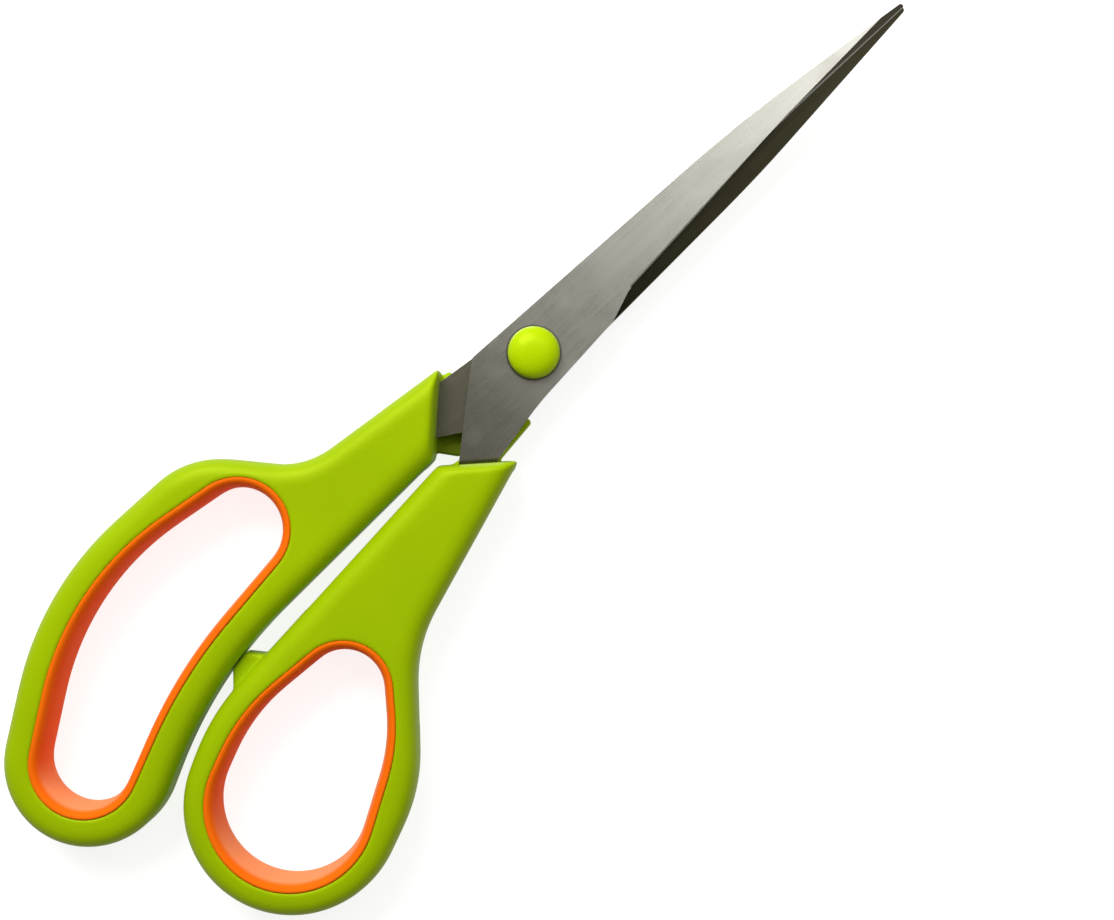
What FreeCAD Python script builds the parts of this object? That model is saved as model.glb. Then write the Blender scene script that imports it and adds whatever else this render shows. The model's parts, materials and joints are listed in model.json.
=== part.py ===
import FreeCAD, Part
import os
from math import asin, atan2, cos, hypot, pi, sin
import Sketcher

# Office scissors: two stamped steel blades on one rivet, hard plastic handles moulded over
# their tangs, and a soft lining in each finger loop.
# Each half is drawn about the pivot, with z = 0 midway between the two blades, the tips towards
# +Y and the handles towards -Y. The placement then lifts it so that the handles lie on z = 0.
# The front half has its handle at +X and its blade on top; the back half is the other one.

V = FreeCAD.Vector
doc = FreeCAD.newDocument("scissors")
sheet = doc.addObject("Spreadsheet::Sheet", "dims")

sizes = {
    "pivotX": -10.05, "pivotY": 16.2,      # pivot from the middle of the closed outline
    "handleThick": 12.4, "handleRound": 1.2,
    "gripThick": 12.0, "gripWall": 1.9, "gripRound": 0.8,
    "ribDepth": 1.0, "ribHigh": 4.0,
    "tabThick": 5.0,
    "lipBase": -4.6, "frontLipHigh": 4.7, "backLipHigh": 1.9,
    "bladeThick": 1.5, "bladeGap": 0.2,
    "bevelDrop": 5.0, "facetDrop": 0.62,    # fall of each ground face per mm of its width
    "bevelStartX": 3.0, "bevelStartY": 21.0, "bevelBendX": -0.15, "bevelBendY": 64.0,
    "facetStartY": 64.8, "facetEndX": -1.45, "tipEndY": 92.5,
    "frontKeyX": 8.4, "backKeyX": 6.9, "keyY": -29.5, "keyStep": 7.0, "keyRad": 1.3,
    "shankRad": 2.4, "shankPlay": 0.05,
    "slip": 0.02, "bearingThick": 0.16, "bearingRad": 4.6,
    "springThick": 0.28, "springRad": 3.6,
    "headThick": 1.0, "headRad": 4.0,
    "burrThick": 0.5, "burrRad": 4.2,
    "peenHigh": 0.9, "peenRad": 3.2, "peenTopRad": 1.6,
    "capRad": 4.75, "capSide": 2.5, "capTop": 5.1, "capLipRad": 3.8,
}

# Every outline is a belt laid round wheels, anticlockwise: (name, x, y, radius, side).
# Side 1 is a wheel inside the outline, -1 one outside it that presses a hollow into it.
wheels = {
    "frontBlade": [
        ("Tip", -0.15, 91.9, 0.6, 1), ("Spine", 294.45, 33, 300, 1), ("Shoulder", -6.4, -8.6, 0.6, 1),
        ("Waist", 3, -25.7, 3, -1), ("TangEnd", 7.2, -40.5, 1.2, 1), ("TangFoot", 10.2, -40.5, 1.2, 1),
        ("TangSide", 7.3, -18.5, 2.5, 1), ("Ricasso", 64, 2, 57.1, -1), ("Heel", 4.2, 14.2, 1.5, 1),
        ("Choil", 7.5, 21.2, 4, -1), ("Edge", 60.2, 62, 60, -1),
    ],
    "backBlade": [
        ("Tip", -0.15, 91.9, 0.6, 1), ("Spine", 295.1, 33, 300, 1), ("Shoulder", -5.8, -11, 0.8, 1),
        ("Waist", 0.4, -30.2, 4, -1), ("TangEnd", 5.6, -40.5, 1.2, 1), ("TangFoot", 8.6, -40.5, 1.2, 1),
        ("TangSide", 5.4, -16, 2.5, 1), ("Ricasso", 80, 4, 74, -1), ("Heel", 4.2, 14.2, 1.5, 1),
        ("Choil", 7.5, 21.2, 4, -1), ("Edge", 60.2, 62, 60, -1),
    ],
    "frontHandle": [
        ("Crest", 12, -17.6, 1, 1), ("Mouth", 4.4, -27.3, 1.3, 1), ("Flank", 47, -77, 39.9, 1),
        ("Heel", 30, -88.2, 19.7, 1), ("Shoulder", 18, -88, 30.8, 1), ("Waist", 47, -37.5, 26.2, -1),
    ],
    "frontRim": [
        ("Top", 21, -66.7, 9, 1), ("Flank", 47, -77, 35.6, 1),
        ("Heel", 29.7, -88, 15.4, 1), ("Shoulder", 10, -88, 32.5, 1),
    ],
    "frontLip": [
        ("Tip", 8.3, -9.6, 0.7, 1), ("Corner", 5.9, -20.6, 0.7, 1),
        ("Base", 5, -27, 0.7, 1), ("Side", 9.5, -20, 0.7, 1),
    ],
    "stopTab": [
        ("Top", 4.2, -75.6, 0.4, 1), ("Foot", 4.8, -79, 0.4, 1),
        ("RootFoot", 9, -82.8, 0.4, 1), ("RootTop", 9, -71.5, 0.4, 1),
    ],
    "backHandle": [
        ("Crest", -8.95, -16.42, 0.9, 1), ("Waist", -27.2, -37, 14.8, -1), ("Shoulder", -13, -66, 16.4, 1),
        ("Flank", 28, -77, 57.6, 1), ("Heel", -1, -109.6, 15.3, 1), ("Palm", 85.4, -63.2, 82.7, -1),
        ("Mouth", 0.4, -27.1, 1.3, 1),
    ],
    "backRim": [
        ("Top", -13, -60.7, 9.5, 1), ("Flank", 28, -77, 52.5, 1),
        ("Heel", -1.2, -109.7, 9.9, 1), ("Palm", 85.4, -63.2, 88, -1),
    ],
    "backLip": [
        ("Tip", -7.9, -14.2, 0.7, 1), ("Side", -9, -20, 0.7, 1),
        ("Base", 0.5, -25.1, 0.7, 1), ("Corner", 3.6, -22.7, 0.7, 1), ("Far", 3.6, -20.0, 0.7, 1),
    ],
}

for outline, belt in wheels.items():
    for name, x, y, radius, side in belt:
        sizes[outline + name + "X"] = x
        sizes[outline + name + "Y"] = y
        sizes[outline + name + "Rad"] = radius

for row, (alias, value) in enumerate(sizes.items(), start=1):
    sheet.set(f"A{row}", alias)
    sheet.set(f"B{row}", str(value))
    sheet.setAlias(f"B{row}", alias)
doc.recompute()


def size(alias):
    return float(sheet.get(alias))


# ---- sketches -----------------------------------------------------------------------------

def originPlane(body, role):
    return next(item for item in body.Origin.OriginFeatures if item.Role == role)


def newSketch(body, name, role="XY_Plane", height=None):
    sketch = body.newObject("Sketcher::SketchObject", name)
    sketch.AttachmentSupport = [(originPlane(body, role), "")]
    sketch.MapMode = "FlatFace"
    if height:
        sketch.setExpression("AttachmentOffset.Base.z", height)
    return sketch


def bind(sketch, kind, geometry, value, expression):
    # one dimension: its value now, and the cell or formula that drives it
    index = sketch.addConstraint(Sketcher.Constraint(kind, *geometry, value))
    name = f"{kind}{index}"
    sketch.renameConstraint(index, name)
    sketch.setExpression(f"Constraints.{name}", expression)


def bindPoint(sketch, geometry, x, y, xExpression, yExpression):
    bind(sketch, "DistanceX", (-1, 1, *geometry), x, xExpression)
    bind(sketch, "DistanceY", (-1, 1, *geometry), y, yExpression)


def beltSketch(sketch, outline, offset=None, grow=1, mirrored=False):
    # lay the belt of one outline; offset moves it outwards (grow 1) or inwards (grow -1)
    flip = -1 if mirrored else 1
    belt = [(outline + name, side) for name, x, y, radius, side in wheels[outline]]
    if mirrored:
        belt.reverse()
    circles = []
    for alias, side in belt:
        radius = size(alias + "Rad") + (side * grow * size(offset) if offset else 0)
        circles.append((flip * size(alias + "X"), size(alias + "Y"), radius, side))
    spans = []
    for (x1, y1, r1, s1), (x2, y2, r2, s2) in zip(circles, circles[1:] + circles[:1]):
        apart = hypot(x2 - x1, y2 - y1)
        normal = atan2(y2 - y1, x2 - x1) + asin((s1 * r1 - s2 * r2) / apart) - pi / 2
        out = V(cos(normal), sin(normal), 0)
        spans.append((V(x1, y1, 0) + out * (s1 * r1), V(x2, y2, 0) + out * (s2 * r2)))
    arcs = []
    for index, (x, y, radius, side) in enumerate(circles):
        enter = spans[index - 1][1]
        leave = spans[index][0]
        first, last = (enter, leave) if side > 0 else (leave, enter)
        circle = Part.Circle(V(x, y, 0), V(0, 0, 1), radius)
        angles = [atan2(point.y - y, point.x - x) for point in (first, last)]
        arcs.append(sketch.addGeometry(Part.ArcOfCircle(circle, *angles)))
    lines = [sketch.addGeometry(Part.LineSegment(*span)) for span in spans]
    for index, line in enumerate(lines):
        after = (index + 1) % len(lines)
        leaveEnd = 2 if circles[index][3] > 0 else 1
        enterEnd = 1 if circles[after][3] > 0 else 2
        sketch.addConstraint(Sketcher.Constraint("Tangent", line, 1, arcs[index], leaveEnd))
        sketch.addConstraint(Sketcher.Constraint("Tangent", line, 2, arcs[after], enterEnd))
    for arc, (alias, side), (x, y, radius, _) in zip(arcs, belt, circles):
        bindPoint(sketch, (arc, 3), x, y, f"{flip} * dims.{alias}X", f"dims.{alias}Y")
        extra = f" + {side * grow} * dims.{offset}" if offset else ""
        bind(sketch, "Radius", (arc,), radius, f"dims.{alias}Rad" + extra)


def addHole(sketch, x, y, radius, xExpression, yExpression, radiusExpression):
    circle = sketch.addGeometry(Part.Circle(V(x, y, 0), V(0, 0, 1), radius))
    bindPoint(sketch, (circle, 3), x, y, xExpression, yExpression)
    bind(sketch, "Radius", (circle,), radius, radiusExpression)


def addKeyHoles(sketch, key, flip=1):
    for step in range(2):
        y = size("keyY") - step * size("keyStep")
        addHole(sketch, flip * size(key), y, size("keyRad"),
                f"{flip} * dims.{key}", f"dims.keyY - {step} * dims.keyStep", "dims.keyRad")


def evaluate(formula):
    # a formula of the sheet's cells, worked out now for a sketch's first shape
    cell = "D1"
    sheet.set(cell, "=" + formula.replace("dims.", ""))
    sheet.recompute()
    return float(sheet.get(cell))


def latheSketch(sketch, profile, domeAfter=None):
    # closed profile of (radius, height) formulas; the span after corner domeAfter is a round dome
    corners = [V(evaluate(radius), evaluate(height), 0) for radius, height in profile]
    count = len(corners)
    for index, corner in enumerate(corners):
        following = corners[(index + 1) % count]
        if index == domeAfter:
            rise = following.y - corner.y
            domeRad = (corner.x ** 2 + rise ** 2) / (2 * rise)
            circle = Part.Circle(V(0, following.y - domeRad, 0), V(0, 0, 1), domeRad)
            sketch.addGeometry(Part.ArcOfCircle(circle, atan2(corner.y - circle.Center.y, corner.x), pi / 2))
            sketch.addConstraint(Sketcher.Constraint("PointOnObject", index, 3, -2))
        else:
            sketch.addGeometry(Part.LineSegment(corner, following))
    for index, corner in enumerate(corners):
        sketch.addConstraint(Sketcher.Constraint("Coincident", index - 1 if index else count - 1, 2, index, 1))
        bindPoint(sketch, (index, 1), corner.x, corner.y, *profile[index])


# ---- features -----------------------------------------------------------------------------

def newBody(name, turned=False):
    body = doc.addObject("PartDesign::Body", name)
    body.Placement = FreeCAD.Placement(V(), FreeCAD.Rotation(V(0, 1, 0), 180 if turned else 0))
    body.setExpression("Placement.Base.x", "dims.pivotX")
    body.setExpression("Placement.Base.y", "dims.pivotY")
    body.setExpression("Placement.Base.z", "dims.handleThick / 2")
    return body


def extrude(body, kind, sketch, length, symmetric=False):
    feature = body.newObject(f"PartDesign::{kind}", sketch.Name + kind)
    feature.Profile = sketch
    feature.setExpression("Length", length)
    if symmetric:
        feature.SideType = "Symmetric"
    sketch.Visibility = False
    doc.recompute()
    return feature


def edgesWhere(feature, wanted):
    return [f"Edge{number}" for number, edge in enumerate(feature.Shape.Edges, start=1) if wanted(edge)]


def roundEdges(body, feature, radius, wanted):
    fillet = body.newObject("PartDesign::Fillet", feature.Name + "Round")
    fillet.Base = (feature, edgesWhere(feature, wanted))
    fillet.setExpression("Radius", radius)
    doc.recompute()


def onFace(edge, height):
    return all(abs(abs(end.Point.z) - height) < 0.001 for end in edge.Vertexes)


# ---- blades -------------------------------------------------------------------------------

def grind(body, name, start, end, drop):
    # a box laid on the ground plane, which leaves the outer face along start-end and falls outwards
    along = (end - start).normalize()
    across = V(-along.y, along.x, size(drop)).normalize()
    box = body.newObject("PartDesign::SubtractiveBox", name)
    box.Length = (end - start).Length
    box.setExpression("Width", "4 * dims.bladeThick")
    box.setExpression("Height", "dims.bladeThick")
    turn = FreeCAD.Rotation(along, across, along.cross(across), "ZXY")
    box.Placement = FreeCAD.Placement(start - across * 2 * size("bladeThick"), turn)
    doc.recompute()


def makeBlade(name, outline, key, turned, pivotHole):
    body = newBody(name, turned)
    sketch = newSketch(body, name + "Outline", height="dims.bladeGap / 2")
    beltSketch(sketch, outline)
    addHole(sketch, 0, 0, evaluate(pivotHole), "0", "0", pivotHole)
    addKeyHoles(sketch, key)
    extrude(body, "Pad", sketch, "dims.bladeThick")
    outer = size("bladeGap") / 2 + size("bladeThick")
    heel = V(size("bevelStartX"), size("bevelStartY"), outer)
    bend = V(size("bevelBendX"), size("bevelBendY"), outer)
    edgeEnd = V(size("bevelBendX"), size("tipEndY"), outer)
    facetStart = V(size("bevelBendX"), size("facetStartY"), outer)
    facetEnd = V(size("facetEndX"), size("tipEndY"), outer)
    grind(body, name + "Bevel", heel, bend, "bevelDrop")
    grind(body, name + "TipBevel", bend, edgeEnd, "bevelDrop")
    grind(body, name + "Facet", facetStart, facetEnd, "facetDrop")


# ---- handles and grips --------------------------------------------------------------------

def makeHandle(name, outline, rim, lip, lipHigh, blade, key, tangHeight, mirrored, tab=None):
    body = newBody(name)
    shell = newSketch(body, name + "Shell")
    beltSketch(shell, outline)
    block = extrude(body, "Pad", shell, "dims.handleThick", symmetric=True)
    roundEdges(body, block, "dims.handleRound", lambda edge: onFace(edge, size("handleThick") / 2))
    lipSketch = newSketch(body, name + "Lip", height="dims.lipBase")
    beltSketch(lipSketch, lip)
    extrude(body, "Pad", lipSketch, lipHigh)
    if tab:
        tabSketch = newSketch(body, name + "Tab")
        beltSketch(tabSketch, tab)
        extrude(body, "Pad", tabSketch, "dims.tabThick", symmetric=True)
    loop = newSketch(body, name + "Loop")
    beltSketch(loop, rim)
    extrude(body, "Pocket", loop, "2 * dims.handleThick", symmetric=True)
    keyway = newSketch(body, name + "Keyway")
    beltSketch(keyway, rim, offset="ribDepth")
    extrude(body, "Pocket", keyway, "dims.ribHigh", symmetric=True)
    tang = newSketch(body, name + "Tang", height=tangHeight)
    beltSketch(tang, blade, mirrored=mirrored)
    addKeyHoles(tang, key, -1 if mirrored else 1)
    extrude(body, "Pocket", tang, "dims.bladeThick")


def makeGrip(name, rim):
    body = newBody(name)
    sleeve = newSketch(body, name + "Sleeve")
    beltSketch(sleeve, rim)
    extrude(body, "Pad", sleeve, "dims.gripThick", symmetric=True)
    rib = newSketch(body, name + "Rib")
    beltSketch(rib, rim, offset="ribDepth")
    extrude(body, "Pad", rib, "dims.ribHigh", symmetric=True)
    throat = newSketch(body, name + "Throat")
    beltSketch(throat, rim, offset="gripWall", grow=-1)
    cut = extrude(body, "Pocket", throat, "2 * dims.gripThick", symmetric=True)
    middle = size("gripThick") / 2
    roundEdges(body, cut, "dims.gripRound", lambda edge: onFace(edge, middle))


# ---- pivot --------------------------------------------------------------------------------

def makeLathe(name, profile, domeAfter=None):
    body = newBody(name)
    sketch = newSketch(body, name + "Profile", "XZ_Plane")
    latheSketch(sketch, profile, domeAfter)
    turn = body.newObject("PartDesign::Revolution", name + "Turn")
    turn.Profile = sketch
    turn.ReferenceAxis = (sketch, ["V_Axis"])
    turn.Angle = 360
    doc.recompute()


def ring(inner, outer, base, thick):
    return [(inner, base), (outer, base), (outer, f"{base} + {thick}"), (inner, f"{base} + {thick}")]


bladeFace = "dims.bladeGap / 2 + dims.bladeThick"
headBase = f"{bladeFace} + dims.slip + dims.springThick"
headTop = f"{headBase} + dims.headThick"
burrTop = f"-1 * ({bladeFace})"
burrBase = f"{burrTop} - dims.burrThick"

makeBlade("front_blade", "frontBlade", "frontKeyX", False, "dims.shankRad + dims.shankPlay")
makeBlade("back_blade", "backBlade", "backKeyX", True, "dims.shankRad")
makeHandle("front_handle", "frontHandle", "frontRim", "frontLip", "dims.frontLipHigh",
           "frontBlade", "frontKeyX", bladeFace, mirrored=False, tab="stopTab")
makeHandle("back_handle", "backHandle", "backRim", "backLip", "dims.backLipHigh",
           "backBlade", "backKeyX", "-1 * dims.bladeGap / 2", mirrored=True)
makeGrip("front_grip", "frontRim")
makeGrip("back_grip", "backRim")
makeLathe("pivot_rivet", [
    ("0", f"{burrBase} - dims.peenHigh"), ("dims.peenTopRad", f"{burrBase} - dims.peenHigh"),
    ("dims.peenRad", burrBase), ("dims.shankRad", burrBase), ("dims.shankRad", headBase),
    ("dims.headRad", headBase), ("dims.headRad", headTop), ("0", headTop),
])
makeLathe("pivot_cap", [
    ("dims.capLipRad", f"{bladeFace} + 2 * dims.slip"), ("dims.capRad", f"{bladeFace} + 2 * dims.slip"),
    ("dims.capRad", "dims.capSide"), ("0", "dims.capTop"), ("0", headTop), ("dims.headRad", headTop),
    ("dims.headRad", headBase), ("dims.capLipRad", headBase),
], domeAfter=2)
makeLathe("spring_washer", ring("dims.shankRad", "dims.springRad", f"{bladeFace} + dims.slip", "dims.springThick"))
makeLathe("bearing_washer", ring("dims.shankRad", "dims.bearingRad", "-1 * dims.bladeGap / 2", "dims.bearingThick"))
makeLathe("rivet_washer", ring("dims.shankRad", "dims.burrRad", burrBase, "dims.burrThick"))
doc.recompute()

# ---- check and write ----------------------------------------------------------------------

for item in doc.Objects:
    if "Invalid" in item.State or "Error" in item.State:
        raise RuntimeError(f"{item.Name} failed: {item.State}")

bodies = [item for item in doc.Objects if item.isDerivedFrom("PartDesign::Body")]
for body in bodies:
    if body.Shape.isNull() or not body.Shape.isValid() or len(body.Shape.Solids) != 1:
        raise RuntimeError(f"{body.Label} is not one valid solid")

whole = FreeCAD.BoundBox()
os.makedirs("parts", exist_ok=True)
for body in bodies:
    whole.add(body.Shape.optimalBoundingBox(False))
    body.Shape.exportStep(f"parts/{body.Label}.step")
    print(f"{body.Label:16s} {body.Shape.Volume:9.1f} mm3")
print("whole", whole)
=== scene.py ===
import json
from math import cos, pi, radians, sin

import bmesh
import bpy
import numpy as np
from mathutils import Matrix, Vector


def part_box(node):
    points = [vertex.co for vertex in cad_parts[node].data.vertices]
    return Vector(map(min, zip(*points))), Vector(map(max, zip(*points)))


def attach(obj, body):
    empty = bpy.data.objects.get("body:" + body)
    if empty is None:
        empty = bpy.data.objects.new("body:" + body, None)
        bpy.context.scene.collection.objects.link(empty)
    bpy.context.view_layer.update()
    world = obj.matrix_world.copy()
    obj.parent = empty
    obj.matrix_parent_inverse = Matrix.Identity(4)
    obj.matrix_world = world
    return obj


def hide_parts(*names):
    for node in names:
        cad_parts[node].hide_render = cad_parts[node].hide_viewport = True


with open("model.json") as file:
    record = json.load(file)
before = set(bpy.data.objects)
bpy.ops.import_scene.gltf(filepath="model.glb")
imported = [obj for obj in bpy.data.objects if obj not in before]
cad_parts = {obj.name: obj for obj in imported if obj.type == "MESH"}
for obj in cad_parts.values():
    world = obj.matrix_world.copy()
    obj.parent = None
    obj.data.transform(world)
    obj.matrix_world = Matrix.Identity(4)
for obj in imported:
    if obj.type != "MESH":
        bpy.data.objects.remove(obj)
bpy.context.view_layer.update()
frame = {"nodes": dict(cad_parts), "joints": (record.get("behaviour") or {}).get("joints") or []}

import openvdb
from mathutils import Matrix, Vector
from mathutils.kdtree import KDTree

mm = 0.001
weldGap = 1e-7      # points nearer than this are one point, in metres
tiny = 1e-9
pivot = Vector(frame["joints"][0]["pos_m"])      # the rivet's axis, midway between the blades
bottom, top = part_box("front_handle")
midHeight = (bottom.z + top.z) / 2
print("frame loaded")


# shader maths: a wire is one socket, and its operators add Math nodes

class Wire:
    def __init__(self, tree, socket):
        self.tree = tree
        self.socket = socket

    def make(self, nodeType, settings=None, inputs=None, output=0):
        node = self.tree.nodes.new(nodeType)
        for name, value in (settings or {}).items():
            setattr(node, name, value)
        for name, value in (inputs or {}).items():
            self.plug(node.inputs[name], value)
        return Wire(self.tree, node.outputs[output])

    def plug(self, socket, value):
        if isinstance(value, Wire):
            self.tree.links.new(value.socket, socket)
        else:
            socket.default_value = value

    def maths(self, operation, *values):
        return self.make("ShaderNodeMath", {"operation": operation}, dict(enumerate(values)))

    def __add__(self, other):
        return self.maths("ADD", self, other)

    def __sub__(self, other):
        return self.maths("SUBTRACT", self, other)

    def __mul__(self, other):
        return self.maths("MULTIPLY", self, other)

    def __truediv__(self, other):
        return self.maths("DIVIDE", self, other)

    def __rsub__(self, other):
        return self.maths("SUBTRACT", other, self)

    def __rtruediv__(self, other):
        return self.maths("DIVIDE", other, self)

    __radd__ = __add__
    __rmul__ = __mul__

    def between(self, low, high):
        # 0 below low, 1 above high, smooth on the way
        return self.make("ShaderNodeMapRange", {"interpolation_type": "SMOOTHSTEP"},
                         {"Value": self, "From Min": low, "From Max": high})

    def colours(self, first, second):
        # this wire chooses between two colours
        return self.make("ShaderNodeMix", {"data_type": "RGBA"}, {0: self, 6: first, 7: second}, output=2)

    def noise(self, scale, detail=2, rough=0.5, stretch=(1, 1, 1)):
        spread = self.make("ShaderNodeMapping", None, {"Vector": self, "Scale": stretch})
        return self.make("ShaderNodeTexNoise", None,
                         {"Vector": spread, "Scale": scale, "Detail": detail, "Roughness": rough})


def newSurface(name):
    # an empty material, its shader and its Object coordinates
    material = bpy.data.materials.new(name)
    material.use_nodes = True
    tree = material.node_tree
    shader = tree.nodes["Principled BSDF"]
    start = tree.nodes.new("ShaderNodeTexCoord")
    return material, shader, Wire(tree, start.outputs["Object"])


def axisOf(place, name):
    return place.make("ShaderNodeSeparateXYZ", None, {"Vector": place}, output=name)


def setShader(place, shader, values):
    for name, value in values.items():
        place.plug(shader.inputs[name], value)


def addBump(place, height, distance):
    return place.make("ShaderNodeBump", None, {"Height": height, "Distance": distance})


def rgb(red, green, blue):
    return (red, green, blue, 1)


# moulded plastics, rubber and nylon

plasticLook = {
    "lime": rgb(0.365, 0.545, 0.001), "limeDeep": rgb(0.325, 0.495, 0.001), "limeGleam": rgb(0.9, 1.0, 0.08),
    # a dark olive, painted shade for the back handle's sunk lip
    "limeLipShade": rgb(0.09, 0.11, 0.01),
    "cap": rgb(0.52, 0.74, 0.001), "capDeep": rgb(0.46, 0.68, 0.001),
    # the last colour on the next line is a painted lit tone for the loops' sides facing the key light
    "orange": rgb(1.0, 0.17, 0.003), "wall": rgb(1.0, 0.125, 0.001), "litPeach": rgb(1.0, 0.34, 0.13),
    "scuff": rgb(0.72, 0.10, 0.006), "dirt": rgb(0.30, 0.05, 0.01),
    "peachGlow": rgb(1.0, 0.60, 0.38), "nylon": rgb(0.78, 0.76, 0.68), "nylonDeep": rgb(0.70, 0.68, 0.60),
    "limeRough": 0.42, "capRough": 0.30, "rubberRough": 0.56, "nylonRough": 0.4,
    "limeClouds": 45, "limeGrain": 2600, "limeSpecks": 900,
    "rubberClouds": 60, "rubberGrain": 3000, "rubberScuffs": 140, "rubberSpecks": 420, "nylonGrain": 1500,
    "bump": 0.00004, "nylonBump": 0.00002,
    # painted shade: the back handle's sunk lip is darkened as if shadowed by the blades, below this height
    # from the middle and inward of this Y
    "lipShadeHeight": (-0.0026, -0.0022), "lipShadeReach": (-0.019, -0.0165), "lipShade": 0.85,
    "rimHeight": (0.0040, 0.0054), "litSideTilt": (-0.9, -0.05),
}


def makeLime(name, colour, deep, roughness):
    material, shader, place = newSurface(name)
    look = plasticLook
    cloud = place.noise(look["limeClouds"], detail=3)
    grain = place.noise(look["limeGrain"], detail=2)
    speck = place.noise(look["limeSpecks"], detail=1).between(0.74, 0.80)
    facing = place.make("ShaderNodeNewGeometry", None, None, "Normal")
    sunk = 1 - (axisOf(place, "Z") - midHeight).between(*look["lipShadeHeight"])
    inward = 1 - (axisOf(place, "Y") - pivot.y).between(*look["lipShadeReach"])
    # painted shade on the sunk lip's upward faces, where the blades would shadow it
    lipShade = sunk * inward * axisOf(facing, "Z").between(0.2, 0.6)
    clean = (cloud.between(0.3, 0.7) * 0.7 + speck * 0.3).colours(colour, deep)
    setShader(place, shader, {
        "Base Color": (lipShade * look["lipShade"]).colours(clean, look["limeLipShade"]),
        "Roughness": cloud * 0.10 + (roughness - 0.05) + speck * 0.1,
        "Normal": addBump(place, grain * 0.6 + cloud * 1.5, look["bump"]),
        "Specular IOR Level": 0.4, "Specular Tint": look["limeGleam"],
    })
    return material


def makeRubber():
    material, shader, place = newSurface("orangeRubber")
    look = plasticLook
    cloud = place.noise(look["rubberClouds"], detail=3)
    grain = place.noise(look["rubberGrain"], detail=2)
    scuff = place.noise(look["rubberScuffs"], detail=4, rough=0.65).between(0.66, 0.74)
    speck = place.noise(look["rubberSpecks"], detail=1, rough=0.4).between(0.80, 0.83)
    rim = place.maths("ABSOLUTE", axisOf(place, "Z") - midHeight).between(*look["rimHeight"])
    # painted light: each loop is painted paler on the side facing the key light, with a little random
    # variation
    facing = place.make("ShaderNodeNewGeometry", None, None, "Normal")
    litSide = (axisOf(facing, "X") * -1.0).between(*look["litSideTilt"]) * (0.75 + cloud * 0.5)
    wall = litSide.colours(look["wall"], look["litPeach"])
    base = rim.colours(wall, look["orange"])
    setShader(place, shader, {
        "Base Color": speck.colours((scuff * 0.35).colours(base, look["scuff"]), look["dirt"]),
        "Roughness": cloud * 0.12 + look["rubberRough"],
        "Normal": addBump(place, grain + cloud * 1.2, look["bump"]),
        "Sheen Weight": 0.06, "Sheen Roughness": 0.4, "Sheen Tint": look["peachGlow"],
        "Specular IOR Level": 0.10, "Specular Tint": look["peachGlow"],
    })
    return material


def makeNylon():
    material, shader, place = newSurface("naturalNylon")
    look = plasticLook
    grain = place.noise(look["nylonGrain"], detail=2)
    setShader(place, shader, {
        "Base Color": grain.between(0.3, 0.7).colours(look["nylon"], look["nylonDeep"]),
        "Roughness": grain * 0.1 + look["nylonRough"],
        "Normal": addBump(place, grain, look["nylonBump"]),
    })
    return material


# steels

steelLook = {
    "face": rgb(0.56, 0.55, 0.50), "faceDark": rgb(0.46, 0.45, 0.405), "stain": rgb(0.33, 0.32, 0.28),
    # a nearly black tone for the hollow-ground inner face, a painted dark reflection
    "hollowShade": rgb(0.040, 0.037, 0.022), "hollowShadeDark": rgb(0.024, 0.022, 0.012),
    "inner": rgb(0.27, 0.26, 0.20), "innerDark": rgb(0.22, 0.21, 0.16),
    # the next line's colours are pale, a painted glint on the blades' broken edges and ground bevel
    "edge": rgb(0.86, 0.85, 0.79), "edgeDark": rgb(0.74, 0.73, 0.67), "bevelGlint": rgb(0.95, 0.94, 0.88),
    # a darker tone for the tip facet, a painted dark reflection
    "facetShade": rgb(0.32, 0.29, 0.23), "facetShadeDark": rgb(0.24, 0.22, 0.17),
    "turned": rgb(0.6, 0.6, 0.58), "turnedDark": rgb(0.42, 0.42, 0.41),
    # the next two lines hold painted shade on the open face: a darker tone towards the tang, a dark ring
    # round the cap and a dark line at the handle's mouth
    "tangShade": rgb(0.19, 0.188, 0.13), "capRingShade": rgb(0.035, 0.04, 0.012), "capRingShadeWidth": 0.0006,
    "mouthShade": rgb(0.10, 0.12, 0.01), "mouthWidth": 0.0009,
    "streaks": 9000, "bands": 1500, "clouds": 70, "blots": 150, "bump": 0.000004,
    # from the rivet, along Y: where the painted dark reflection of the hollow-ground part starts, and how
    # far towards the tang the face is painted darker as shade
    "hollowShadeFrom": (0.002, 0.008), "tangShadeTo": (-0.030, 0.006),
    "turnedClouds": 220, "grooves": 42000, "turnedBump": 0.00001,
}
capRadius = (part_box("pivot_cap")[1].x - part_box("pivot_cap")[0].x) / 2


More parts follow.
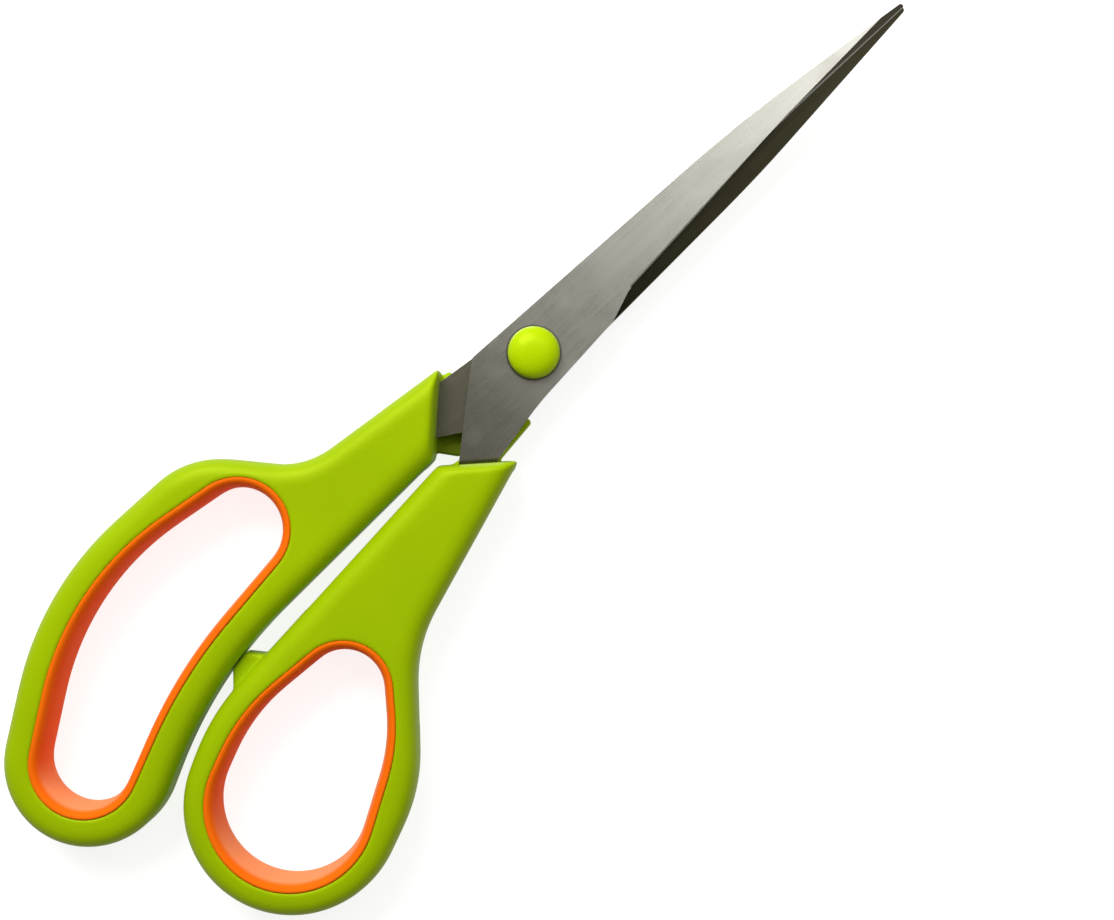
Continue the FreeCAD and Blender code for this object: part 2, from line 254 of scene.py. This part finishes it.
def makeSteel(name, light, dark, roughness, stains=0.0, metal=1.0, hollowShade=False, mouth=None):
    # brushed along the blade: fine streaks stretched along Y, with soft smudges over them
    material, shader, place = newSurface(name)
    look = steelLook
    streaks = place.noise(look["streaks"], detail=3, rough=0.6, stretch=(1, 0.012, 1))
    bands = place.noise(look["bands"], detail=2, stretch=(1, 0.01, 1))
    cloud = place.noise(look["clouds"], detail=4, rough=0.6)
    blots = place.noise(look["blots"], detail=2, rough=0.4, stretch=(1, 0.6, 1))
    along = axisOf(place, "Y") - pivot.y
    stain = blots.between(0.57, 0.68) * (0.4 + cloud * 0.9) * stains
    tone = streaks.between(0.3, 0.7) * 0.3 + bands.between(0.3, 0.7) * 0.3 + cloud.between(0.35, 0.7) * 0.4
    colour = tone.colours(look[dark], look[light])
    if hollowShade:
        # painted dark reflection: the cutting part, which is ground hollow, gets a nearly black colour for
        # its shaded reflection; round the rivet and on the tang the face is left flat and keeps a lighter
        # tone
        ground = along.between(*look["hollowShadeFrom"])
        colour = ground.colours(tone.colours(look["innerDark"], look["inner"]), colour)
    colour = (stain * 0.22).colours(colour, look["stain"])
    if mouth is not None:
        # the open face: painted darker towards the tang as shade, with a painted shadow line round the cap
        # and another at the handle's mouth
        # painted shadow: a dark ring on the blade round the cap's foot
        capRingShade = 1 - offAxis(place).between(capRadius - 0.0001, capRadius + look["capRingShadeWidth"])
        point, outward = mouth
        depth = axisOf(place, "X") * float(outward[0]) + axisOf(place, "Y") * float(outward[1])
        depth = depth - float(point @ outward) * mm
        # painted shade: the face darkens towards the tang
        tangShade = 1 - along.between(*look["tangShadeTo"])
        colour = (tangShade * 0.62).colours(colour, look["tangShade"])
        colour = (capRingShade * 0.9).colours(colour, look["capRingShade"])
        # painted shadow: the blade darkens in a line along the handle's mouth
        shade = 1 - depth.between(look["mouthWidth"] * 0.5, look["mouthWidth"])
        colour = (shade * 0.92).colours(colour, look["mouthShade"])
    setShader(place, shader, {
        "Base Color": colour,
        "Metallic": metal,
        "Roughness": streaks * 0.08 + cloud * 0.08 + (roughness - 0.08) + stain * 0.04,
        "Normal": addBump(place, streaks + cloud * 0.5, look["bump"]),
    })
    return material


def offAxis(place):
    # distance from the rivet's axis
    centred = place.make("ShaderNodeVectorMath", {"operation": "SUBTRACT"}, {0: place, 1: tuple(pivot)})
    flat = centred.make("ShaderNodeVectorMath", {"operation": "MULTIPLY"}, {0: centred, 1: (1, 1, 0)})
    return flat.make("ShaderNodeVectorMath", {"operation": "LENGTH"}, {0: flat}, output="Value")


def makeTurnedSteel():
    material, shader, place = newSurface("turnedSteel")
    radius = offAxis(place)
    grooves = radius.maths("SINE", radius * steelLook["grooves"])
    cloud = place.noise(steelLook["turnedClouds"], detail=3)
    setShader(place, shader, {
        "Base Color": cloud.between(0.3, 0.7).colours(steelLook["turned"], steelLook["turnedDark"]),
        "Metallic": 1.0,
        "Roughness": cloud * 0.2 + 0.24,
        "Normal": addBump(place, grooves * 0.5 + cloud, steelLook["turnedBump"]),
    })
    return material


limePlastic = makeLime("limePlastic", plasticLook["lime"], plasticLook["limeDeep"], plasticLook["limeRough"])
limeCap = makeLime("limeCap", plasticLook["cap"], plasticLook["capDeep"], plasticLook["capRough"])
orangeRubber = makeRubber()
nylon = makeNylon()
turnedSteel = makeTurnedSteel()
print("materials made")


# outlines, read from the frame in millimetres

def sliceNode(name, height):
    # closed loops where a level plane cuts a node, the longest first, each anticlockwise
    mesh = bmesh.new()
    mesh.from_mesh(frame["nodes"][name].data)
    bmesh.ops.remove_doubles(mesh, verts=mesh.verts, dist=weldGap)
    cut = bmesh.ops.bisect_plane(mesh, geom=mesh.verts[:] + mesh.edges[:] + mesh.faces[:],
                                 plane_co=(0, 0, height), plane_no=(0, 0, 1))["geom_cut"]
    edges = dict.fromkeys(item for item in cut if isinstance(item, bmesh.types.BMEdge))
    loops = []
    while edges:
        first = edges.popitem()[0]
        chain = [first.verts[0], first.verts[1]]
        while True:
            onward = [edge for edge in chain[-1].link_edges if edge in edges]
            if not onward:
                break
            edges.pop(onward[0])
            chain.append(onward[0].other_vert(chain[-1]))
        loop = np.array([vert.co.xy for vert in chain[:-1]]) / mm
        following = np.roll(loop, -1, 0)
        area = np.sum(loop[:, 0] * following[:, 1] - loop[:, 1] * following[:, 0]) / 2
        loops.append((abs(area), loop if area > 0 else loop[::-1]))
    mesh.free()
    return [loop for area, loop in sorted(loops, key=lambda item: -item[0])]


def walkLoop(loop, step):
    # evenly spaced points round a closed loop
    closed = np.vstack([loop, loop[:1]])
    travel = np.concatenate([[0], np.cumsum(np.hypot(*np.diff(closed, axis=0).T))])
    stops = np.linspace(0, travel[-1], int(travel[-1] / step), endpoint=False)
    return np.stack([np.interp(stops, travel, closed[:, axis]) for axis in (0, 1)], 1)


def softenLoop(loop, step=0.3, reach=0.7):
    # even points, with the corners between flats taken off over less than a millimetre
    points = walkLoop(loop, step)
    turns = np.fft.fftfreq(len(points), d=step)
    keep = np.exp(-2 * (pi * turns * reach) ** 2)[:, None]
    return np.real(np.fft.ifft(np.fft.fft(points, axis=0) * keep, axis=0))


def signedDistance(loop, points):
    # distance from each point to a closed anticlockwise loop, negative inside
    tree = KDTree(len(loop))
    for index, (x, y) in enumerate(loop):
        tree.insert((x, y, 0), index)
    tree.balance()
    nearest = np.array([tree.find((x, y, 0))[1] for x, y in points])
    best = np.full(len(points), np.inf)
    lean = np.zeros(len(points))
    for back in (1, 0):      # the edge before the nearest point, then the one after it
        start = loop[(nearest - back) % len(loop)]
        along = loop[(nearest - back + 1) % len(loop)] - start
        away = points - start
        share = np.clip(np.sum(away * along, 1) / np.sum(along ** 2, 1), 0, 1)
        gap = np.hypot(*(away - share[:, None] * along).T)
        side = (along[:, 1] * away[:, 0] - along[:, 0] * away[:, 1]) / np.hypot(*along.T)
        closer = gap < best - tiny
        level = np.abs(gap - best) <= tiny
        lean = np.where(closer, side, np.where(level, lean + side, lean))
        best = np.minimum(best, gap)
    return np.where(lean < 0, -best, best)


# solids as distance fields in millimetres, negative inside

def smoothMax(a, b, blend):
    share = np.clip(0.5 + 0.5 * (a - b) / blend, 0, 1)
    return b + (a - b) * share + blend * share * (1 - share)


def smoothMin(a, b, blend):
    return -smoothMax(-a, -b, blend)


def roundedSlab(flat, height, middle, half, sideRound, topRound):
    # an outline pulled up to a slab, its edges rounded as a quarter ellipse
    sideways = np.maximum(flat + sideRound, 0) / sideRound
    upwards = np.maximum(np.abs(height - middle) - (half - topRound), 0) / topRound
    return (np.hypot(sideways, upwards) - 1) * min(sideRound, topRound)


def meshFromField(name, field, corner, voxel):
    grid = openvdb.FloatGrid()
    grid.copyFromArray(np.ascontiguousarray(field, dtype=np.float32))
    points, triangles, quads = grid.convertToPolygons(isovalue=0.0, adaptivity=0.0)
    mesh = bpy.data.meshes.new(name)
    faces = [tuple(face[::-1]) for face in triangles.tolist() + quads.tolist()]
    mesh.from_pydata(((points * voxel + corner) * mm).tolist(), [], faces)
    mesh.validate()
    return finishMesh(name, mesh)


def finishMesh(name, mesh, *materials):
    mesh.shade_smooth()
    for material in materials:
        mesh.materials.append(material)
    piece = bpy.data.objects.new(name, mesh)
    bpy.context.scene.collection.objects.link(piece)
    return piece


def seatPiece(piece, body, node):
    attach(piece, body)
    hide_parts(node)


# handles

# millimetres; heights and cuts are from the middle of the handles, and tabTop is from the pivot
handleLook = {
    "voxel": 0.34, "sideRound": 4.0, "topRound": 3.4, "rimRound": 0.35,
    "mouthSide": 1.9, "mouthTop": 3.6, "mouthBlend": 0.7,
    "lipRound": 0.6, "lipBlend": 0.5, "lipRoot": 1.6, "tangGap": 0.12,
    "flatCut": 4.9, "lipCut": -2.3, "underLip": 0.5, "lipBase": -4.6, "backLipTop": -2.7,
    "tabHalf": 2.5, "tabRound": 0.7, "tabTop": -62, "outlineStep": 0.3,
    "straight": 5, "armRun": 14,
}


def openMouth(outline):
    # the straight mouth where the tang goes in: its point and outward direction, and the outline with both
    # arms run straight on past it
    following = np.roll(outline, -1, 0)
    length = np.hypot(*(following - outline).T)
    away = np.hypot(*((following + outline) / 2 - np.array(pivot.xy) / mm).T)
    isStraight = length > handleLook["straight"]
    first = int(np.argmin(np.where(isStraight, away, np.inf)))
    rolled = np.roll(outline, -first, 0)
    straight = np.flatnonzero(np.roll(isStraight, -first))
    point = rolled[0]
    along = (rolled[1] - point) / np.hypot(*(rolled[1] - point))
    outward = np.array([along[1], -along[0]])
    inner = rolled[straight[1]:straight[-1] + 2]
    lastArm = inner[-1] - inner[-2]
    firstArm = inner[0] - inner[1]
    ends = [start + arm / np.hypot(*arm) * handleLook["armRun"]
            for start, arm in ((inner[-1], lastArm), (inner[0], firstArm))]
    return point, outward, np.vstack([inner, ends])


def makeHandle(name, body, bladeName, lipTop, hasTab):
    look = handleLook
    low, high = (np.array(corner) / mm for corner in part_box(name))
    middle = midHeight / mm
    half = middle - low[2]
    step = look["outlineStep"]
    outline, rim = sliceNode(name, (middle + look["flatCut"]) * mm)[:2]
    mouthPoint, mouthOut, arm = openMouth(outline)
    lipLoop = sliceNode(name, min(middle + look["lipCut"], lipTop - look["underLip"]) * mm)[0]
    bladeLow, bladeHigh = (corner.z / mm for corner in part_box(bladeName))
    tangLoop = sliceNode(bladeName, (bladeLow + bladeHigh) / 2 * mm)[0]

    voxel = look["voxel"]
    corner = low - 2 * voxel
    counts = np.ceil((high - low) / voxel).astype(int) + 5
    xs, ys, zs = (corner[axis] + voxel * np.arange(counts[axis]) for axis in range(3))
    flat = np.stack(np.meshgrid(xs, ys, indexing="ij"), -1).reshape(-1, 2)

    def layer(loop):
        return signedDistance(loop, flat).reshape(counts[0], counts[1], 1)

    height = zs[None, None, :]
    side = layer(softenLoop(arm))
    field = roundedSlab(side, height, middle, half, look["sideRound"], look["topRound"])
    past = ((flat - mouthPoint) @ mouthOut).reshape(counts[0], counts[1], 1)
    mouth = roundedSlab(past, height, middle, half, look["mouthSide"], look["mouthTop"])
    field = smoothMax(field, mouth, look["mouthBlend"])
    lipFlat = layer(walkLoop(lipLoop, step))
    lipLow = middle + look["lipBase"]
    lip = roundedSlab(lipFlat, height, (lipLow + lipTop) / 2, (lipTop - lipLow) / 2,
                      look["lipRound"], look["lipRound"])
    field = smoothMin(field, np.maximum(lip, -look["lipRoot"] - past), look["lipBlend"])
    if hasTab:
        tab = roundedSlab(lipFlat, height, middle, look["tabHalf"], look["tabRound"], look["tabRound"])
        fromPivot = ys[None, :, None] - pivot.y / mm
        field = smoothMin(field, np.maximum(tab, fromPivot - look["tabTop"]), look["lipBlend"])
    field = smoothMax(field, -layer(softenLoop(rim)), look["rimRound"])
    tang = np.maximum(layer(walkLoop(tangLoop, step)), np.maximum(height - bladeHigh, bladeLow - height))
    field = np.maximum(field, look["tangGap"] - tang)
    piece = meshFromField(name + "Shell", field, corner, voxel)
    piece.data.materials.append(limePlastic)
    seatPiece(piece, body, name)
    print(name, "made,", len(piece.data.polygons), "faces")


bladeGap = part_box("front_blade")[0].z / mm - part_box("back_blade")[1].z / mm
makeHandle("front_handle", "front_half", "front_blade", midHeight / mm + bladeGap / 2, True)
makeHandle("back_handle", "back_half", "back_blade", midHeight / mm + handleLook["backLipTop"], False)


# grips: a bulging profile carried round the rim of each loop

gripLook = {
    "halfHeight": 0.00595, "wall": 0.0019, "fullness": 2.6, "profileSteps": 28, "pathSteps": 420,
    "rimCut": 0.0011,
}


def makeGripTree():
    tree = bpy.data.node_groups.new("gripSleeve", "GeometryNodeTree")
    face = tree.interface
    face.new_socket("Geometry", in_out="INPUT", socket_type="NodeSocketGeometry")
    for label, kind in (("Half Height", "Float"), ("Wall", "Float"), ("Fullness", "Float"),
                        ("Profile Steps", "Int"), ("Path Steps", "Int"), ("Material", "Material")):
        face.new_socket(label, in_out="INPUT", socket_type=f"NodeSocket{kind}")
    face.new_socket("Geometry", in_out="OUTPUT", socket_type="NodeSocketGeometry")
    source = Wire(tree, tree.nodes.new("NodeGroupInput").outputs["Geometry"])
    given = {socket.name: Wire(tree, socket) for socket in source.socket.node.outputs}

    # profile: x is -wall * cos^(2/n), y is halfHeight * sin^(2/n), over half a turn
    line = source.make("GeometryNodeCurvePrimitiveLine", {"mode": "POINTS"}, {"End": (0, 1, 0)}, "Curve")
    points = line.make("GeometryNodeResampleCurve", None,
                       {"Curve": line, "Count": given["Profile Steps"]}, "Curve")
    step = line.make("GeometryNodeSplineParameter", None, None, "Factor")
    angle = (step - 0.5) * pi
    power = 2 / given["Fullness"]
    sine = angle.maths("SINE", angle)
    bulge = sine.maths("POWER", sine.maths("MAXIMUM", sine.maths("COSINE", angle), 0.0), power)
    rise = sine.maths("POWER", sine.maths("ABSOLUTE", sine), power) * sine.maths("SIGN", sine)
    spot = line.make("ShaderNodeCombineXYZ", None,
                     {"X": bulge * given["Wall"] * -1.0, "Y": rise * given["Half Height"]})
    shaped = points.make("GeometryNodeSetPosition", None, {"Geometry": points, "Position": spot})
    profile = shaped.make("GeometryNodeSetSplineCyclic", None, {"Geometry": shaped, "Cyclic": True})

    path = source.make("GeometryNodeResampleCurve", None, {"Curve": source, "Count": given["Path Steps"]})
    level = path.make("GeometryNodeSetCurveNormal", {"mode": "Z_UP"}, {"Curve": path})
    sleeve = level.make("GeometryNodeCurveToMesh", None,
                        {"Curve": level, "Profile Curve": profile, "Fill Caps": False})
    smooth = sleeve.make("GeometryNodeSetShadeSmooth", None, {0: sleeve})
    real = smooth.make("GeometryNodeRealizeInstances", None, {"Geometry": smooth})
    done = real.make("GeometryNodeSetMaterial", None, {"Geometry": real, "Material": given["Material"]})
    tree.links.new(done.socket, tree.nodes.new("NodeGroupOutput").inputs["Geometry"])
    return tree


def setInput(modifier, label, value):
    socket = next(item for item in modifier.node_group.interface.items_tree
                  if item.name == label and item.in_out == "INPUT")
    modifier[socket.identifier] = value


def plainMesh(source, name):
    # the evaluated result as a mesh of its own; the source and its modifier go
    bpy.context.view_layer.update()
    mesh = bpy.data.meshes.new_from_object(source.evaluated_get(bpy.context.evaluated_depsgraph_get()))
    mesh.name = name
    bpy.data.objects.remove(source)
    return mesh


def makeGrip(name, body, tree):
    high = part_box(name)[1]
    rim = softenLoop(sliceNode(name, high.z - gripLook["rimCut"])[0])
    curve = bpy.data.curves.new(name + "Path", "CURVE")
    curve.dimensions = "3D"
    spline = curve.splines.new("POLY")
    spline.points.add(len(rim) - 1)
    spline.points.foreach_set("co", np.hstack([rim * mm, np.full((len(rim), 1), midHeight),
                                               np.ones((len(rim), 1))]).ravel())
    spline.use_cyclic_u = True
    path = bpy.data.objects.new(name + "Path", curve)
    bpy.context.scene.collection.objects.link(path)
    modifier = path.modifiers.new("sleeve", "NODES")
    modifier.node_group = tree
    for label, value in (("Half Height", gripLook["halfHeight"]), ("Wall", gripLook["wall"]),
                         ("Fullness", gripLook["fullness"]), ("Profile Steps", gripLook["profileSteps"]),
                         ("Path Steps", gripLook["pathSteps"]), ("Material", orangeRubber)):
        setInput(modifier, label, value)
    mesh = plainMesh(path, name + "Sleeve")
    shape = bmesh.new()
    shape.from_mesh(mesh)
    bmesh.ops.recalc_face_normals(shape, faces=shape.faces)
    shape.to_mesh(mesh)
    shape.free()
    piece = finishMesh(name + "Sleeve", mesh)
    seatPiece(piece, body, name)
    print(name, "made,", len(mesh.polygons), "faces")


gripTree = makeGripTree()
makeGrip("front_grip", "front_half", gripTree)
makeGrip("back_grip", "back_half", gripTree)


# blades: the frame's own shapes, with their stamped edges broken and each ground surface apart

bladeLook = {
    "frontEdge": 0.00012, "backEdge": 0.00026, "edgeSteps": 2, "flatAngle": 9,
    "weld": 2e-7, "flatten": 0.3, "flatTilt": 0.97, "facetTilt": 0.6, "bevelTilt": 0.1,
}
frontMouth = openMouth(sliceNode("front_handle", midHeight + handleLook["flatCut"] * mm)[0])[:2]
frontFace = makeSteel("frontFace", "face", "faceDark", 0.28, stains=1.0, mouth=frontMouth)
backFace = makeSteel("backFace", "face", "faceDark", 0.28, stains=1.0)
bladeInner = makeSteel("bladeInner", "hollowShade", "hollowShadeDark", 0.32, hollowShade=True)
# pale steel for a painted glint along the broken edges and the ground bevel
brokenEdgeGlint = makeSteel("brokenEdgeGlint", "edge", "edgeDark", 0.36, metal=0.8)
groundBevelGlint = makeSteel("groundBevelGlint", "bevelGlint", "edge", 0.5, metal=0.1)
# a darker steel for the tip facet: painted dark reflection on top of what its real tilt reflects
bladeFacetShade = makeSteel("bladeFacetShade", "facetShade", "facetShadeDark", 0.34)


def makeBlade(name, body, outerUp, face, edgeBreak):
    look = bladeLook
    finishes = [face, bladeInner, brokenEdgeGlint, bladeFacetShade, groundBevelGlint]
    mesh = frame["nodes"][name].data.copy()
    mesh.name = name + "Ground"
    mesh.materials.clear()
    shape = bmesh.new()
    shape.from_mesh(mesh)
    bmesh.ops.remove_doubles(shape, verts=shape.verts, dist=look["weld"])
    bmesh.ops.dissolve_limit(shape, angle_limit=radians(look["flatten"]),
                             verts=shape.verts, edges=shape.edges)
    for facing in shape.faces:
        out = facing.normal.z if outerUp else -facing.normal.z
        if out < -look["flatTilt"]:
            facing.material_index = finishes.index(bladeInner)
        elif look["facetTilt"] < out < look["flatTilt"]:
            facing.material_index = finishes.index(bladeFacetShade)
        elif look["bevelTilt"] < out < look["facetTilt"]:
            facing.material_index = finishes.index(groundBevelGlint)
    shape.to_mesh(mesh)
    shape.free()
    piece = finishMesh(name + "Ground", mesh, *finishes)
    edge = piece.modifiers.new("edgeBreak", "BEVEL")
    edge.width = edgeBreak
    edge.segments = look["edgeSteps"]
    edge.limit_method = "ANGLE"
    edge.material = finishes.index(brokenEdgeGlint)
    edge.angle_limit = radians(look["flatAngle"])
    even = piece.modifiers.new("evenShade", "WEIGHTED_NORMAL")
    even.weight = 100
    seatPiece(piece, body, name)
    print(name, "made,", len(mesh.polygons), "faces")


makeBlade("front_blade", "front_half", True, frontFace, bladeLook["frontEdge"])
makeBlade("back_blade", "back_half", False, backFace, bladeLook["backEdge"])


# pivot: turned pieces about the rivet's axis

# foot: how far the bottom edge is taken in and how far it is halfway round; shoulder: the share of the
# height that stands nearly straight before the dome
capLook = {
    "steps": 96, "domeSteps": 20, "headGap": 0.00003, "roofGap": 0.00005,
    "foot": 0.00025, "footMiddle": 0.00007, "shoulder": 0.28, "fullness": 0.86,
}


def turnPiece(name, profile, steps):
    # profile is (radius, height) from the axis at the bottom round to the axis at the top
    rows = []
    verts = []
    for radius, height in profile:
        if radius < tiny:
            rows.append([len(verts)] * steps)
            verts.append((pivot.x, pivot.y, height))
            continue
        rows.append(list(range(len(verts), len(verts) + steps)))
        for step in range(steps):
            angle = 2 * pi * step / steps
            verts.append((pivot.x + radius * cos(angle), pivot.y + radius * sin(angle), height))
    faces = []
    for lower, upper in zip(rows, rows[1:]):
        for step in range(steps):
            after = (step + 1) % steps
            ring = [lower[step], lower[after], upper[after], upper[step]]
            faces.append(list(dict.fromkeys(ring)))
    mesh = bpy.data.meshes.new(name)
    mesh.from_pydata(verts, [], faces)
    return mesh


def makeCap():
    look = capLook
    low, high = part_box("pivot_cap")
    rivetLow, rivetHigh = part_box("pivot_rivet")
    roof = rivetHigh.z + look["roofGap"]
    bore = (rivetHigh.x - rivetLow.x) / 2 + look["headGap"]
    rise = high.z - low.z
    profile = [(0, roof), (bore, roof), (bore, low.z), (capRadius - look["foot"], low.z)]
    profile.append((capRadius - look["footMiddle"], low.z + look["footMiddle"]))
    profile.append((capRadius, low.z + look["foot"]))
    for step in range(look["domeSteps"] + 1):
        angle = pi / 2 * step / look["domeSteps"]
        share = look["shoulder"] + (1 - look["shoulder"]) * sin(angle)
        profile.append((capRadius * cos(angle) ** look["fullness"], low.z + rise * share))
    profile[-1] = (0, high.z)
    piece = finishMesh("pivotCapDome", turnPiece("pivotCapDome", profile, look["steps"]), limeCap)
    seatPiece(piece, "back_half", "pivot_cap")


makeCap()
# the rivet and the washers keep the frame's own shapes
for name, material in (("pivot_rivet", turnedSteel), ("spring_washer", turnedSteel),
                       ("rivet_washer", turnedSteel), ("bearing_washer", nylon)):
    frame["nodes"][name].data.materials.clear()
    frame["nodes"][name].data.materials.append(material)
print("pivot made")


# floor, light and camera

studioLook = {
    "floor": rgb(0.34, 0.34, 0.34), "floorDeep": rgb(0.33, 0.33, 0.33), "floorGlow": 0.84,
    "floorBounce": rgb(0.42, 0.42, 0.42), "floorGrain": 300, "floorRough": 0.7, "floorReach": 3.0,
    "floorDrop": 0.0001, "white": rgb(1, 1, 1),
    "sky": rgb(1.0, 0.95, 0.80), "skyStrength": 0.16,
}
# softboxes: power, width, depth, then where they stand from the middle: right, up, above
softboxes = {
    "key": (4.9, 0.40, 0.40, -0.24, 0.45, 0.48),
    "tipGleam": (1.38, 0.50, 0.50, 0.225, 0.335, 0.60),
}
# the camera looks straight down from this height; tipTurn is how far the blades lean over in the picture
viewLook = {
    "height": 0.300, "aim": (0.0171, -0.0103), "tipTurn": 43.2, "pictureWidth": 0.2027,
    "sensor": 36.0, "clipStart": 0.01,
}

lean = radians(viewLook["tipTurn"])
pictureRight = Vector((sin(lean), cos(lean), 0))
pictureUp = Vector((-cos(lean), sin(lean), 0))
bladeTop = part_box("front_blade")[1].z
aim = Vector((pivot.x + viewLook["aim"][0], pivot.y + viewLook["aim"][1], bladeTop))


def turnedTo(right, up, spot):
    toward = right.cross(up)
    return Matrix.Translation(spot) @ Matrix((right, up, toward)).transposed().to_4x4()


def makeFloor():
    material, shader, spot = newSurface("paleFloor")
    grain = spot.noise(studioLook["floorGrain"], detail=2)
    seen = spot.make("ShaderNodeLightPath", None, None, "Is Camera Ray")
    setShader(spot, shader, {
        "Base Color": grain.colours(studioLook["floor"], studioLook["floorDeep"]),
        "Roughness": studioLook["floorRough"],
        "Emission Color": seen.colours(studioLook["floorBounce"], studioLook["white"]),
        "Emission Strength": studioLook["floorGlow"],
    })
    mesh = bpy.data.meshes.new("floor")
    reach = studioLook["floorReach"]
    corners = [(-reach, -reach, 0), (reach, -reach, 0), (reach, reach, 0), (-reach, reach, 0)]
    mesh.from_pydata(corners, [], [(0, 1, 2, 3)])
    mesh.materials.append(material)
    floor = bpy.data.objects.new("floor", mesh)
    bpy.context.scene.collection.objects.link(floor)
    floor.location.z = -studioLook["floorDrop"]


def makeSoftbox(name, power, width, depth, across, up, height):
    lamp = bpy.data.lights.new(name, "AREA")
    lamp.shape = "RECTANGLE"
    lamp.size = width
    lamp.size_y = depth
    lamp.energy = power
    box = bpy.data.objects.new(name, lamp)
    bpy.context.scene.collection.objects.link(box)
    outward = pictureRight * across + pictureUp * up
    spot = outward + Vector((0, 0, height))
    side = outward.cross(Vector((0, 0, 1))).normalized()
    box.matrix_world = turnedTo(side, side.cross(spot).normalized() * -1, aim + spot)


def makeStudio():
    makeFloor()
    world = bpy.data.worlds.new("studio")
    bpy.context.scene.world = world
    world.use_nodes = True
    # the sky lights the scene dimly, and beyond the floor the camera sees it as pale as the floor
    tree = world.node_tree
    seen = Wire(tree, tree.nodes.new("ShaderNodeLightPath").outputs["Is Camera Ray"])
    backdrop = tree.nodes["Background"]
    seen.plug(backdrop.inputs["Color"], seen.colours(studioLook["sky"], studioLook["white"]))
    dim = studioLook["skyStrength"]
    seen.plug(backdrop.inputs["Strength"], seen * (1 - dim) + dim)
    for name, settings in softboxes.items():
        makeSoftbox(name, *settings)
    bpy.context.scene.view_settings.view_transform = "Standard"


def makeCamera():
    lens = bpy.data.cameras.new("camera")
    lens.sensor_width = viewLook["sensor"]
    lens.lens = viewLook["sensor"] * viewLook["height"] / viewLook["pictureWidth"]
    lens.clip_start = viewLook["clipStart"]
    camera = bpy.data.objects.new("camera", lens)
    bpy.context.scene.collection.objects.link(camera)
    camera.matrix_world = turnedTo(pictureRight, pictureUp, aim + Vector((0, 0, viewLook["height"])))
    bpy.context.scene.camera = camera


makeStudio()
makeCamera()
print("studio and camera made")
